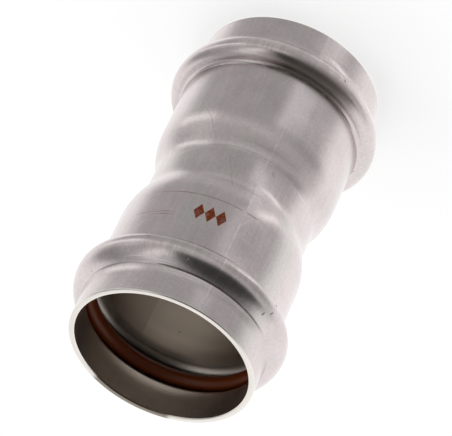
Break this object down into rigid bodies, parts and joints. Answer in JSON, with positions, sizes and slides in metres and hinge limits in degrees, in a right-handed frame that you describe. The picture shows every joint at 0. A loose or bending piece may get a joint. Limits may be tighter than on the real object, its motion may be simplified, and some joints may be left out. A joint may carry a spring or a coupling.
{
  "type": "press fit coupling",
  "caption": "Straight press fit pipe coupling: a formed stainless tube with a guide collar, sealed bead, socket and shoulder at each end and a narrow waist between them.",
  "frame": {"origin": "centre of the lower mouth, on the surface that the coupling stands on", "axes": "+Z along the pipe axis from the lower mouth to the upper mouth; X and Y are equal across the round body"},
  "size_m": [0.0526, 0.0526, 0.091],
  "materials": {
    "stainless_steel": "satin, as formed",
    "seal_elastomer": "smooth, slightly glossy"
  },
  "bodies": {
    "root": {"coupling_body": "stainless_steel", "upper_seal_ring": "seal_elastomer", "lower_seal_ring": "seal_elastomer"}
  },
  "joints": []
}
